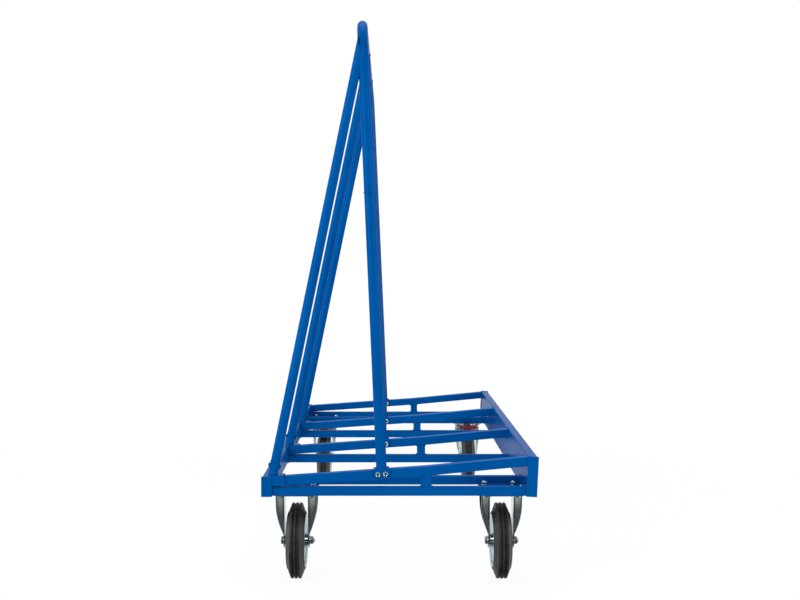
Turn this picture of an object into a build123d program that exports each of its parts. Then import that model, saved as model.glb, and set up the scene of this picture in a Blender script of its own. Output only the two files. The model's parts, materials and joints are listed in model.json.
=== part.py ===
# Drywall cart: a sloping deck of four cross-frames between two long rails, with an A-frame
# of posts and braces under one bent hoop, two fixed castors and two braked swivel castors.
# Millimetres and degrees. +Z is up, the cart's length runs along Y, and the fixed castors
# are at the -Y end. The origin is on the floor, below the centre of the cart.
from build123d import *
import os
from math import atan2, cos, degrees, radians, sin, sqrt

os.makedirs("parts", exist_ok=True)

# Overall sizes
cart_length = 1500  # over the rail end plates
cart_width = 730  # over the end plates, at the top of the board rail
hoop_height = 1508  # floor to the top of the hoop

# Welded frame
tube_wall = 2.0
tube_corner = 3.0  # outer corner radius of the square and oblong tubes
side_rail_width = 25
side_rail_height = 50  # left rail, under the braces
board_rail_height = 103  # right rail, which the boards lean away from
board_rail_tilt = 2.8  # its top leans outwards
end_plate_thickness = 3
end_plate_lip = 1.5  # the end plates stand proud of the tubes all round
plate_corner = 1
bottom_rail_depth = 20
bottom_rail_height = 24
deck_rail_depth = 25
deck_rail_height = 25
strut_x = 69.5  # the deck rails bend a little where the struts carry them
strut_width = 25
strut_depth = 20
strut_flare = 5  # radius of the weld flares
crank_height = 78  # deck rail top over the frame's underside, at the struts

# Front posts and hoop
post_diameter = 28
post_lean = 2.52  # towards the braces, going up
post_foot_x = -49
hoop_radius = 100  # on the tube's centre line
joint_height = 1036  # floor to the slip joints of the posts
spigot_length = 120
spigot_clearance = 0.1
screw_radius = 2.5
screw_head_radius = 4.2
screw_head_height = 1.8
screw_drop = 8  # below the slip joint
cope_trim = 2  # the uprights stop this far under the hoop's centre line, where a cope runs out

# Braces
brace_diameter = 25.4
brace_joint_height = 325  # floor to the joint above each brace foot
brace_foot_inset = 10  # from the left rail to the brace's centre line, at that joint
brace_meet_drop = 50  # the braces aim at a point of the posts this far under the hoop's top tube
brace_spigot_length = 60

# Feet and their bolts
saddle_thickness = 3
saddle_clearance = 0.2  # each side, over the deck rail
post_saddle_length = 41
brace_saddle_length = 33
saddle_cover = 23.5  # how far the saddle's sides reach down the deck rail
saddle_corner = 7
foot_bolt_radius = 4
foot_bolt_spacing = 20
bolt_hole_clearance = 0.25
cross_bolt_drop = 10  # brace foot bolt, below the joint

# Hexagon bolts and nuts, as shares of the shank's radius
hex_ratio = 1.65  # half the width across flats
head_ratio = 1.3
nut_ratio = 1.6
end_ratio = 2.2  # how far a shank reaches past what it clamps

# Castors
castor_height = 236  # floor to the underside of the frame
wheel_diameter = 200
castor_side_gap = 6  # castor plates to the long rails
castor_setback = 86  # from the outside of the end plates
castor_plate_length = 135
castor_plate_width = 110
castor_plate_thickness = 4
castor_bolt_spacing_x = 80
castor_bolt_spacing_y = 100
castor_bolt_radius = 5
mounting_plate_margin = 1  # over each side of a castor plate
mounting_plate_thickness = 5
fork_gap = 63  # between the insides of the legs
leg_thickness = 3.5
leg_foot_radius = 20  # round end of a leg, about the axle
flange_reach = 19.5  # outward flanges of the fixed legs, beyond the leg's outside
flange_full_height = 205  # above this a flange has its full reach
flange_end_height = 121  # here its curved edge has come in to the leg's outside
leg_top_width = 72
swivel_trail = 55
swivel_flange_reach = 7.5
swivel_leg_back = 34  # top of a swivel leg, behind and before the king pin
swivel_leg_front = 74
race_radius = 46
race_height = 8
ball_ring_height = 4
swivel_gap = 0.3
crown_thickness = 5.4
king_pin_radius = 10
king_pin_head_radius = 16
king_pin_head_height = 5
running_clearance = 0.05  # radial, at every shaft that turns
axle_radius = 6
sleeve_radius = 10
hub_clearance = 1.5  # each end of the hub, to the legs

# Wheels
tyre_width = 50
crown_width = 28
shoulder_width = 41  # across the tyre, where its crown's flanks end
shoulder_depth = 20  # of that place, under the crown
crown_round = 1.5
tyre_bore = 132  # diameter
groove_width = 3
groove_depth = 3
groove_pitch = 8
groove_count = 3
hub_radius = 19
bearing_radius = 14
rim_thickness = 3
rim_lip = 4

# Brake pedals
pedal_pin_radius = 4
pedal_pin_y = -66  # from the king pin, towards the wheel
pedal_pin_z = 212
pedal_width = 70
pedal_reach = 62  # from the pin
pedal_thickness = 3
pedal_rise = 13  # degrees, upwards from the pin
pedal_ear_gap = 44
pedal_ear_thickness = 4
pedal_ear_radius = 8
pedal_neck = 14  # from the pin to where the pedal widens
pedal_lip = 8  # turned down along the outer edge
shoe_start = 8  # brake shoe, from the pin
shoe_length = 12
shoe_drop = 12  # below the pin

# Places that follow from the sizes above
frame_bottom = castor_height
half_length = cart_length / 2
rail_length = cart_length - 2 * end_plate_thickness
half_plate = side_rail_width / 2 + end_plate_lip
left_rail_x = -cart_width / 2 + half_plate
tilt_cos = cos(radians(board_rail_tilt))
tilt_sin = sin(radians(board_rail_tilt))
board_rail_x = cart_width / 2 - half_plate * tilt_cos - (board_rail_height + end_plate_lip) * tilt_sin
deck_left = left_rail_x + side_rail_width / 2
board_inner_x = board_rail_x - side_rail_width / 2 * tilt_cos
board_inner_z = frame_bottom + side_rail_width / 2 * tilt_sin
deck_right = board_inner_x + board_rail_height * tilt_sin
deck_left_z = frame_bottom + side_rail_height
deck_right_z = board_inner_z + board_rail_height * tilt_cos
crank_z = frame_bottom + crank_height
left_slope = (crank_z - deck_left_z) / (strut_x - deck_left)
right_slope = (deck_right_z - crank_z) / (deck_right - strut_x)
left_angle = degrees(atan2(left_slope, 1))
cross_y_end = half_length - end_plate_thickness - deck_rail_depth / 2
cross_ys = [cross_y_end * (2 * i / 3 - 1) for i in range(4)]
castor_y = half_length - castor_setback
support_y = castor_y - castor_plate_length / 2 - bottom_rail_depth / 2
castor_inset = castor_side_gap + castor_plate_width / 2
castor_xs = {"left": deck_left + castor_inset, "right": board_inner_x - castor_inset}
brace_foot_x = deck_left + brace_foot_inset


def deck_top(x):
    """Height of the deck rails' top line at a place across the cart."""
    if x < strut_x:
        return deck_left_z + (x - deck_left) * left_slope
    return crank_z + (x - strut_x) * right_slope


def saddle_top(x):
    """Height of a saddle's upper face, where it sits square to the deck rail."""
    return deck_top(x) + saddle_thickness / cos(radians(left_angle))


def save(part, name):
    """Label a finished piece and write its file."""
    part.label = name
    export_step(part, f"parts/{name}.step")


def side_plane(x, y, z, angle=0):
    """A plane across the cart, whose first axis climbs by an angle and whose second is up."""
    slope = radians(angle)
    return Plane(origin=(x, y, z), x_dir=(cos(slope), 0, sin(slope)), z_dir=(0, -1, 0))


def along_plane(x, y, z):
    """A plane seen from the cart's right side: first axis along +Y, second axis up."""
    return Plane(origin=(x, y, z), x_dir=(0, 1, 0), z_dir=(1, 0, 0))


def box_tube(plane, width, height, length):
    """An oblong tube drawn out from a plane, centred on its origin."""
    with BuildPart() as tube:
        with BuildSketch(plane):
            RectangleRounded(width, height, tube_corner)
            Rectangle(width - 2 * tube_wall, height - 2 * tube_wall, mode=Mode.SUBTRACT)
        extrude(amount=length)
    return tube.part


def hex_bolts(planes, radius, length):
    """Hexagon bolts: each shank runs along its plane's normal, from under the head."""
    with BuildPart() as bolts:
        for plane in planes:
            with BuildSketch(plane):
                RegularPolygon(radius * hex_ratio, 6, major_radius=False)
            extrude(amount=-radius * head_ratio)
            with BuildSketch(plane):
                Circle(radius)
            extrude(amount=length)
    return bolts.part


def hex_nuts(planes, radius):
    """Hexagon nuts that stand on their planes."""
    with BuildPart() as nuts:
        for plane in planes:
            with BuildSketch(plane):
                RegularPolygon(radius * hex_ratio, 6, major_radius=False)
                Circle(radius, mode=Mode.SUBTRACT)
            extrude(amount=radius * nut_ratio)
    return nuts.part


# Long rails and their end plates
board_mid_x = board_rail_x + board_rail_height / 2 * tilt_sin
board_mid_z = frame_bottom + board_rail_height / 2 * tilt_cos


def left_rail_plane(y):
    """Square across the left rail, facing the far end."""
    return Plane(origin=(left_rail_x, y, frame_bottom + side_rail_height / 2),
                 x_dir=(1, 0, 0), z_dir=(0, 1, 0))


def board_rail_plane(y):
    """Square across the leaning board rail, facing the far end."""
    return Plane(origin=(board_mid_x, y, board_mid_z), x_dir=(tilt_cos, 0, -tilt_sin),
                 z_dir=(0, 1, 0))


left_rail = box_tube(left_rail_plane(-rail_length / 2), side_rail_width, side_rail_height,
                     rail_length)
save(left_rail, "left_rail")

right_rail = box_tube(board_rail_plane(-rail_length / 2), side_rail_width, board_rail_height,
                      rail_length)
save(right_rail, "right_rail")

with BuildPart() as end_plates:
    for plate_start in (-half_length, rail_length / 2):
        with BuildSketch(left_rail_plane(plate_start)):
            RectangleRounded(2 * half_plate, side_rail_height + 2 * end_plate_lip, plate_corner)
        extrude(amount=end_plate_thickness)
        with BuildSketch(board_rail_plane(plate_start)):
            RectangleRounded(2 * half_plate, board_rail_height + 2 * end_plate_lip, plate_corner)
        extrude(amount=end_plate_thickness)
save(end_plates.part, "rail_end_plates")

# Cross-frames: bottom rails, cranked deck rails, struts and castor supports
board_face = Plane(origin=(board_inner_x, 0, board_inner_z), z_dir=(-tilt_cos, 0, tilt_sin))
past_board = 20  # the cross rails are drawn this far past the board rail and then cut to it


def bottom_rail(ys):
    """Straight cross rails, cut to the leaning face of the board rail."""
    with BuildPart() as rail:
        for y in ys:
            start = Plane(origin=(deck_left, y, frame_bottom + bottom_rail_height / 2),
                          x_dir=(0, 1, 0), z_dir=(1, 0, 0))
            with BuildSketch(start):
                RectangleRounded(bottom_rail_depth, bottom_rail_height, tube_corner)
                Rectangle(bottom_rail_depth - 2 * tube_wall, bottom_rail_height - 2 * tube_wall,
                          mode=Mode.SUBTRACT)
            extrude(amount=deck_right + past_board - deck_left)
        split(bisect_by=board_face, keep=Keep.TOP)
    return rail.part


def deck_outline(inset):
    """Side outline of a deck rail, drawn in from its top and bottom by an inset."""
    end_x = deck_right + past_board
    top = [(x, deck_top(x) - inset) for x in (deck_left, strut_x, end_x)]
    bottom = [(x, deck_top(x) - deck_rail_height + inset) for x in (end_x, strut_x, deck_left)]
    return top + bottom


def deck_rail(y, name, bolt_xs):
    """A cross rail bent a little over its strut, with holes for the bolts of a post foot."""
    with BuildPart() as rail:
        with BuildSketch(side_plane(0, y, 0)):
            Polygon(*deck_outline(0), align=None)
        extrude(amount=deck_rail_depth / 2, both=True)
        long_edges = rail.edges().filter_by(lambda edge: edge.length > strut_width * 5)
        fillet(long_edges, tube_corner)
        with BuildSketch(side_plane(0, y, 0)):
            Polygon(*deck_outline(tube_wall), align=None)
        extrude(amount=deck_rail_depth / 2 - tube_wall, both=True, mode=Mode.SUBTRACT)
        with BuildSketch(side_plane(post_foot_x, y, deck_top(post_foot_x), left_angle)):
            with Locations(*bolt_xs):
                Circle(foot_bolt_radius + bolt_hole_clearance)
        extrude(amount=deck_rail_depth, both=True, mode=Mode.SUBTRACT)
        split(bisect_by=board_face, keep=Keep.TOP)
    save(rail.part, name)


bolt_spots = [(side * foot_bolt_spacing / 2, -deck_rail_height / 2) for side in (-1, 1)]
for number, cross_y in enumerate(cross_ys, start=1):
    save(bottom_rail([cross_y]), f"bottom_rail_{number}")
    deck_rail(cross_y, f"deck_rail_{number}", bolt_spots)

strut_bottom = frame_bottom + bottom_rail_height
with BuildPart() as struts:
    for cross_y in cross_ys:
        with BuildSketch(side_plane(0, cross_y, 0)):
            with BuildLine():
                edges_x = [strut_x - strut_width / 2, strut_x + strut_width / 2]
                outer_x = [edges_x[0] - strut_flare, edges_x[1] + strut_flare]
                under = [deck_top(x) - deck_rail_height for x in outer_x]
                foot = [(outer_x[0], strut_bottom), (edges_x[0], strut_bottom + strut_flare)]
                RadiusArc(foot[0], foot[1], -strut_flare)
                Line(foot[1], (edges_x[0], under[0] - strut_flare))
                RadiusArc((edges_x[0], under[0] - strut_flare), (outer_x[0], under[0]), -strut_flare)
                Polyline((outer_x[0], under[0]), (strut_x, crank_z - deck_rail_height),
                         (outer_x[1], under[1]))
                RadiusArc((outer_x[1], under[1]), (edges_x[1], under[1] - strut_flare), -strut_flare)
                Line((edges_x[1], under[1] - strut_flare), (edges_x[1], strut_bottom + strut_flare))
                RadiusArc((edges_x[1], strut_bottom + strut_flare), (outer_x[1], strut_bottom),
                          -strut_flare)
                Line((outer_x[1], strut_bottom), (outer_x[0], strut_bottom))
            make_face()
        extrude(amount=strut_depth / 2, both=True)
save(struts.part, "deck_struts")

save(bottom_rail([-support_y, support_y]), "castor_supports")


def castor_centres():
    """Middle of each castor, as (x, y)."""
    return [(x, y) for y in (-castor_y, castor_y) for x in castor_xs.values()]


def castor_bolt_points():
    """Places of the castors' bolts, as (x, y)."""
    return [(x + side_x * castor_bolt_spacing_x / 2, y + side_y * castor_bolt_spacing_y / 2)
            for x, y in castor_centres() for side_x in (-1, 1) for side_y in (-1, 1)]


plate_start_y = cross_y_end - bottom_rail_depth / 2
plate_end_y = support_y + bottom_rail_depth / 2
with BuildPart() as mounting_plates:
    with BuildSketch(Plane.XY.offset(frame_bottom)):
        for side_y in (-1, 1):
            for plate_x in castor_xs.values():
                with Locations((plate_x, side_y * (plate_start_y + plate_end_y) / 2)):
                    Rectangle(castor_plate_width + 2 * mounting_plate_margin,
                              plate_start_y - plate_end_y)
        with Locations(*castor_bolt_points()):
            Circle(castor_bolt_radius + bolt_hole_clearance, mode=Mode.SUBTRACT)
    extrude(amount=mounting_plate_thickness)
save(mounting_plates.part, "castor_mounting_plates")

# Front posts, hoop and their slip joints
lean_cos = cos(radians(post_lean))
lean_sin = sin(radians(post_lean))
post_bore = post_diameter - 2 * tube_wall
post_foot_z = saddle_top(post_foot_x)
hoop_axis_z = hoop_height - post_diameter / 2


def post_x(z):
    """Where the posts' centre line is across the cart, at a height."""
    return post_foot_x - (z - post_foot_z) * lean_sin / lean_cos


def post_plane(y, z):
    """A plane square to a post, at a height on its centre line."""
    return Plane(origin=(post_x(z), y, z), x_dir=(0, 1, 0), z_dir=(-lean_sin, 0, lean_cos))


def screw_plane(y):
    """On the near side of a post, a little under its slip joint, facing the near end."""
    z = joint_height - screw_drop
    return Plane(origin=(post_x(z), y - post_diameter / 2, z), x_dir=(lean_cos, 0, lean_sin),
                 z_dir=(0, -1, 0))


def lower_post(y, name):
    """The part of a post below its slip joint, cut to the saddle that it stands on."""
    with BuildPart() as post:
        below = post_foot_z - post_diameter / 2
        with BuildSketch(post_plane(y, below)):
            Circle(post_diameter / 2)
            Circle(post_bore / 2, mode=Mode.SUBTRACT)
        extrude(amount=(joint_height - below) / lean_cos)
        seat = side_plane(post_foot_x, y, post_foot_z, left_angle)
        split(bisect_by=Plane(origin=seat.origin, z_dir=seat.y_dir), keep=Keep.TOP)
        with BuildSketch(screw_plane(y)):
            Circle(screw_radius + spigot_clearance)
        extrude(amount=-post_diameter / 2, mode=Mode.SUBTRACT)
    save(post.part, name)


for number, cross_y in enumerate(cross_ys, start=1):
    lower_post(cross_y, f"lower_post_{number}")

hoop_plane = Plane(origin=(post_x(joint_height), 0, joint_height), x_dir=(0, 1, 0),
                   z_dir=(lean_cos, 0, lean_sin))
hoop_rise = (hoop_axis_z - joint_height) / lean_cos
with BuildPart() as front_hoop:
    with BuildLine(hoop_plane) as hoop_path:
        FilletPolyline((-cross_y_end, 0), (-cross_y_end, hoop_rise), (cross_y_end, hoop_rise),
                       (cross_y_end, 0), radius=hoop_radius)
    with BuildSketch(post_plane(-cross_y_end, joint_height)):
        Circle(post_diameter / 2)
        Circle(post_bore / 2, mode=Mode.SUBTRACT)
    sweep(path=hoop_path.wire())
save(front_hoop.part, "front_hoop")

top_axis = Plane(origin=(post_x(hoop_axis_z), -half_length, hoop_axis_z), x_dir=(1, 0, 0),
                 z_dir=(0, 1, 0))
with BuildPart() as uprights:
    for cross_y in cross_ys[1:3]:
        with BuildSketch(post_plane(cross_y, joint_height)):
            Circle(post_diameter / 2)
            Circle(post_bore / 2, mode=Mode.SUBTRACT)
        extrude(amount=hoop_rise - cope_trim)
    with BuildSketch(top_axis):
        Circle(post_diameter / 2)
    extrude(amount=cart_length, mode=Mode.SUBTRACT)
save(uprights.part, "hoop_uprights")


# Braces, which aim at one line of the posts a little under the hoop's top tube
meet_z = hoop_axis_z - brace_meet_drop
meet_x = post_x(meet_z)
brace_run = sqrt((meet_x - brace_foot_x) ** 2 + (meet_z - brace_joint_height) ** 2)
brace_sin = (meet_x - brace_foot_x) / brace_run
brace_cos = (meet_z - brace_joint_height) / brace_run
brace_bore = brace_diameter - 2 * tube_wall


def brace_plane(y, along=0):
    """Square to a brace, at a distance up its centre line from the joint at its foot."""
    origin = (brace_foot_x + along * brace_sin, y, brace_joint_height + along * brace_cos)
    return Plane(origin=origin, x_dir=(0, 1, 0), z_dir=(brace_sin, 0, brace_cos))


hoop_outside = hoop_radius + post_diameter / 2
outline_y = cross_y_end + post_diameter / 2
outline_top = hoop_rise + post_diameter / 2
with BuildPart() as hoop_outline:
    with BuildSketch(hoop_plane):
        with BuildLine():
            FilletPolyline((-outline_y, -joint_height), (-outline_y, outline_top),
                           (outline_y, outline_top), (outline_y, -joint_height),
                           radius=hoop_outside)
            Line((outline_y, -joint_height), (-outline_y, -joint_height))
        make_face()
    extrude(amount=cart_width, both=True)

with BuildPart() as hoop_solid:
    with BuildSketch(post_plane(-cross_y_end, joint_height)):
        Circle(post_diameter / 2)
    sweep(path=hoop_path.wire())


def brace(y, name):
    """A round tube from its foot joint to the posts, coped to the tube that it meets."""
    with BuildPart() as tube:
        with BuildSketch(brace_plane(y)):
            Circle(brace_diameter / 2)
            Circle(brace_bore / 2, mode=Mode.SUBTRACT)
        extrude(amount=brace_run)
        split(bisect_by=hoop_plane, keep=Keep.BOTTOM)
        add(hoop_outline.part, mode=Mode.INTERSECT)
        if abs(y) < cross_y_end:
            with BuildSketch(post_plane(y, joint_height)):
                Circle(post_diameter / 2)
            extrude(amount=hoop_rise, mode=Mode.SUBTRACT)
        add(hoop_solid.part, mode=Mode.SUBTRACT)
    save(tube.part, name)


brace_ys = cross_ys[:3]
for number, cross_y in enumerate(brace_ys, start=1):
    brace(cross_y, f"brace_{number}")

# Spigots inside the slip joints, and the screws that hold the post joints
with BuildPart() as spigots:
    for cross_y in cross_ys:
        with BuildSketch(post_plane(cross_y, joint_height)):
            Circle(post_bore / 2 - spigot_clearance)
            Circle(post_bore / 2 - spigot_clearance - tube_wall, mode=Mode.SUBTRACT)
        extrude(amount=spigot_length / 2, both=True)
        with BuildSketch(screw_plane(cross_y)):
            Circle(screw_radius + spigot_clearance)
        extrude(amount=-post_diameter / 2, mode=Mode.SUBTRACT)
    for cross_y in brace_ys:
        with BuildSketch(brace_plane(cross_y)):
            Circle(brace_bore / 2 - spigot_clearance)
            Circle(brace_bore / 2 - spigot_clearance - tube_wall, mode=Mode.SUBTRACT)
        extrude(amount=brace_spigot_length / 2, both=True)
        with BuildSketch(Plane(origin=brace_plane(cross_y, -cross_bolt_drop).origin,
                               x_dir=(0, 1, 0), z_dir=(brace_cos, 0, -brace_sin))):
            Circle(foot_bolt_radius + bolt_hole_clearance)
        extrude(amount=brace_diameter, both=True, mode=Mode.SUBTRACT)
save(spigots.part, "tube_spigots")

with BuildPart() as screws:
    for cross_y in cross_ys:
        with BuildSketch(screw_plane(cross_y)):
            Circle(screw_head_radius)
        extrude(amount=screw_head_height)
        with BuildSketch(screw_plane(cross_y)):
            Circle(screw_radius)
        extrude(amount=-3 * tube_wall)
save(screws.part, "joint_screws")

# Feet: saddles over the deck rails, bolted under the posts and welded under the braces
saddle_inside = deck_rail_depth + 2 * saddle_clearance
saddle_outside = saddle_inside + 2 * saddle_thickness


def saddle(y, x, length, corner):
    """A folded plate that straddles a deck rail, with rounded lower corners."""
    with BuildPart() as plate:
        rail_top = side_plane(x, y, deck_top(x), left_angle)
        with BuildSketch(rail_top):
            with BuildLine():
                FilletPolyline((-length / 2, saddle_thickness), (-length / 2, -saddle_cover),
                               (length / 2, -saddle_cover), (length / 2, saddle_thickness),
                               radius=corner)
                Line((length / 2, saddle_thickness), (-length / 2, saddle_thickness))
            make_face()
        extrude(amount=saddle_outside / 2, both=True)
        with BuildSketch(rail_top):
            with Locations((0, -deck_rail_height)):
                Rectangle(2 * length, 2 * deck_rail_height)
        extrude(amount=saddle_inside / 2, both=True, mode=Mode.SUBTRACT)
    return plate.part


post_saddles = [saddle(y, post_foot_x, post_saddle_length, saddle_corner) for y in cross_ys]
with BuildPart() as post_feet:
    add(post_saddles)
    for cross_y in cross_ys:
        with BuildSketch(side_plane(post_foot_x, cross_y, deck_top(post_foot_x), left_angle)):
            with Locations(*bolt_spots):
                Circle(foot_bolt_radius + bolt_hole_clearance)
        extrude(amount=saddle_outside, both=True, mode=Mode.SUBTRACT)
save(post_feet.part, "post_feet")

brace_saddle_x = deck_left + saddle_clearance + end_plate_lip + brace_saddle_length / 2
brace_saddles = [saddle(y, brace_saddle_x, brace_saddle_length, saddle_corner / 2)
                 for y in brace_ys]
with BuildPart() as brace_feet:
    for cross_y in brace_ys:
        with BuildSketch(brace_plane(cross_y)):
            Circle(brace_diameter / 2)
            Circle(brace_bore / 2, mode=Mode.SUBTRACT)
        extrude(amount=-(brace_joint_height - deck_left_z + brace_diameter))
        top_plane = side_plane(brace_saddle_x, cross_y, saddle_top(brace_saddle_x), left_angle)
        with BuildSketch(top_plane):
            with Locations((0, -brace_diameter)):
                Rectangle(4 * brace_diameter, 2 * brace_diameter)
        extrude(amount=brace_diameter, both=True, mode=Mode.SUBTRACT)
        with BuildSketch(Plane(origin=brace_plane(cross_y, -cross_bolt_drop).origin,
                               x_dir=(0, 1, 0), z_dir=(brace_cos, 0, -brace_sin))):
            Circle(foot_bolt_radius + bolt_hole_clearance)
        extrude(amount=brace_diameter, both=True, mode=Mode.SUBTRACT)
    add(brace_saddles)
save(brace_feet.part, "brace_feet")

# Foot bolts: heads face outwards at the two ends of the cart
head_planes = []
nut_planes = []
for cross_y in cross_ys:
    facing = 1 if cross_y == cross_ys[-1] else -1
    foot_plane = side_plane(post_foot_x, cross_y, deck_top(post_foot_x), left_angle)
    for spot in bolt_spots:
        spot_at = foot_plane.from_local_coords(spot)
        out = facing * saddle_outside / 2
        head_planes.append(Plane(origin=(spot_at.X, cross_y + out, spot_at.Z), x_dir=(1, 0, 0),
                                 z_dir=(0, -facing, 0)))
        nut_planes.append(Plane(origin=(spot_at.X, cross_y - out, spot_at.Z), x_dir=(1, 0, 0),
                                z_dir=(0, -facing, 0)))
for cross_y in brace_ys:
    axis_at = brace_plane(cross_y, -cross_bolt_drop).origin
    reach = brace_diameter / 2
    across = Vector(brace_cos, 0, -brace_sin)
    head_planes.append(Plane(origin=axis_at + across * reach, x_dir=(0, 1, 0), z_dir=-across))
    nut_planes.append(Plane(origin=axis_at - across * reach, x_dir=(0, 1, 0), z_dir=-across))
foot_bolt_length = saddle_outside + end_ratio * foot_bolt_radius
save(hex_bolts(head_planes, foot_bolt_radius, foot_bolt_length), "foot_bolts")
save(hex_nuts(nut_planes, foot_bolt_radius), "foot_nuts")

# Castors: plates, bolts, and legs pressed with outward flanges
wheel_radius = wheel_diameter / 2
plate_under = frame_bottom - castor_plate_thickness
web_out = fork_gap / 2 + leg_thickness


def castor_plate(x, y):
    """A castor's top plate, with its four bolt holes."""
    with BuildPart() as plate:
        with BuildSketch(Plane((x, y, plate_under))):
            RectangleRounded(castor_plate_width, castor_plate_length, plate_corner * 6)
            with GridLocations(castor_bolt_spacing_x, castor_bolt_spacing_y, 2, 2):
                Circle(castor_bolt_radius + bolt_hole_clearance, mode=Mode.SUBTRACT)
        extrude(amount=castor_plate_thickness)
    return plate.part


def leg(x, y, side, axle_y, top, top_z, reach, holes):
    """One leg of a castor: a web with flanges that curve in from its top down to the axle.

    side is -1 or 1, top the (start, end) of its upper edge along Y, and holes a list of
    (y, z, radius). Places along Y are from the castor's middle.
    """
    with BuildPart() as piece:
        web_plane = along_plane(x + side * fork_gap / 2, y, 0)
        with BuildSketch(web_plane) as web:
            with Locations((axle_y, wheel_radius)):
                Circle(leg_foot_radius)
            with Locations(((top[0] + top[1]) / 2, top_z - leg_thickness / 2)):
                Rectangle(top[1] - top[0], leg_thickness)
            make_hull()
        extrude(amount=side * (leg_thickness + reach))
        with BuildSketch(side_plane(x + side * fork_gap / 2, y, 0)):
            with BuildLine():
                outside = side * leg_thickness
                flange_x = side * (leg_thickness + reach)
                Polyline((outside, flange_end_height), (outside, 0), (0, 0), (0, top_z),
                         (flange_x, top_z), (flange_x, flange_full_height))
                TangentArc((flange_x, flange_full_height), (outside, flange_end_height),
                           tangent=(0, -1))
            make_face()
        extrude(amount=wheel_diameter, both=True, mode=Mode.INTERSECT)
        with BuildSketch(along_plane(x + side * web_out, y, 0)):
            with Locations((axle_y, wheel_radius)):
                Circle(leg_foot_radius - leg_thickness)
            with Locations(((top[0] + top[1]) / 2, top_z - leg_thickness * 1.5)):
                Rectangle(top[1] - top[0] - 2 * leg_thickness, leg_thickness)
            make_hull()
        extrude(amount=side * 2 * reach, mode=Mode.SUBTRACT)
        with BuildSketch(web_plane):
            for hole_y, hole_z, hole_radius in holes:
                with Locations((hole_y, hole_z)):
                    Circle(hole_radius)
        extrude(amount=side * 2 * leg_thickness, mode=Mode.SUBTRACT)
    return piece.part


axle_hole = axle_radius + bolt_hole_clearance
fixed_leg_top = (-leg_top_width / 2, leg_top_width / 2)
for hand, castor_x in castor_xs.items():
    plate = castor_plate(castor_x, -castor_y)
    legs = [leg(castor_x, -castor_y, side, 0, fixed_leg_top, plate_under, flange_reach,
                [(0, wheel_radius, axle_hole)]) for side in (-1, 1)]
    with BuildPart() as housing:
        add(plate)
        add(legs)
    save(housing.part, f"fixed_housing_{hand}")

# Swivel castors: top plate with its race, ball ring, king pin and fork
race_under = plate_under - race_height
crown_top = race_under - ball_ring_height - swivel_gap
crown_under = crown_top - crown_thickness
swivel_plates = [castor_plate(castor_x, castor_y) for castor_x in castor_xs.values()]
with BuildPart() as top_plates:
    add(swivel_plates)
    for castor_x in castor_xs.values():
        with BuildSketch(Plane((castor_x, castor_y, race_under))):
            Circle(race_radius)
        extrude(amount=race_height)
        with BuildSketch(Plane((castor_x, castor_y, race_under))):
            Circle(king_pin_radius)
        extrude(amount=race_height + castor_plate_thickness, mode=Mode.SUBTRACT)
save(top_plates.part, "swivel_top_plates")

with BuildPart() as ball_rings:
    for castor_x in castor_xs.values():
        with BuildSketch(Plane((castor_x, castor_y, race_under))):
            Circle(race_radius - ball_ring_height / 2)
            Circle(race_radius - 3 * ball_ring_height, mode=Mode.SUBTRACT)
        extrude(amount=-ball_ring_height)
save(ball_rings.part, "swivel_ball_rings")

with BuildPart() as king_pins:
    for castor_x in castor_xs.values():
        with BuildSketch(Plane((castor_x, castor_y, crown_under - swivel_gap))):
            Circle(king_pin_radius)
        extrude(amount=frame_bottom - crown_under + swivel_gap)
        with BuildSketch(Plane((castor_x, castor_y, crown_under - swivel_gap))):
            Circle(king_pin_head_radius)
        extrude(amount=-king_pin_head_height)
save(king_pins.part, "king_pins")

pin_hole = pedal_pin_radius + bolt_hole_clearance
crown_front = pedal_pin_y + pedal_ear_radius + leg_thickness
swivel_leg_top = (-swivel_leg_front, swivel_leg_back)
swivel_holes = [(-swivel_trail, wheel_radius, axle_hole), (pedal_pin_y, pedal_pin_z, pin_hole)]
for hand, castor_x in castor_xs.items():
    legs = [leg(castor_x, castor_y, side, -swivel_trail, swivel_leg_top, crown_top,
                swivel_flange_reach, swivel_holes) for side in (-1, 1)]
    with BuildPart() as fork:
        with BuildSketch(Plane((castor_x, castor_y, crown_under))):
            Circle(race_radius)
            with Locations((0, (swivel_leg_back + crown_front) / 2)):
                Rectangle(2 * web_out, swivel_leg_back - crown_front)
            Circle(king_pin_radius + running_clearance, mode=Mode.SUBTRACT)
        extrude(amount=crown_thickness)
        add(legs)
    save(fork.part, f"swivel_fork_{hand}")

# Axles: a bolt and nut, and the sleeve that they clamp between the legs
axle_length = 2 * web_out + end_ratio * axle_radius


def axle_plane(x, y, offset):
    """Square to an axle at an offset from the wheel's middle, facing +X."""
    return along_plane(x + offset, y, wheel_radius)


def axles(places, ending):
    """Axle bolts with their nuts, and the sleeves that the wheels' bearings run on."""
    bolts = hex_bolts([axle_plane(x, y, -web_out) for x, y in places], axle_radius, axle_length)
    nuts = hex_nuts([axle_plane(x, y, web_out) for x, y in places], axle_radius)
    save(Compound(children=[*bolts.solids(), *nuts.solids()]), f"axle_bolt_{ending}")
    with BuildPart() as sleeves:
        for x, y in places:
            with BuildSketch(axle_plane(x, y, -fork_gap / 2)):
                Circle(sleeve_radius)
                Circle(axle_hole, mode=Mode.SUBTRACT)
            extrude(amount=fork_gap)
    save(sleeves.part, f"axle_sleeve_{ending}")


axles([(castor_x, -castor_y) for castor_x in castor_xs.values()], "fixed_pair")
for hand, castor_x in castor_xs.items():
    axles([(castor_x, castor_y - swivel_trail)], f"swivel_{hand}")

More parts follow.
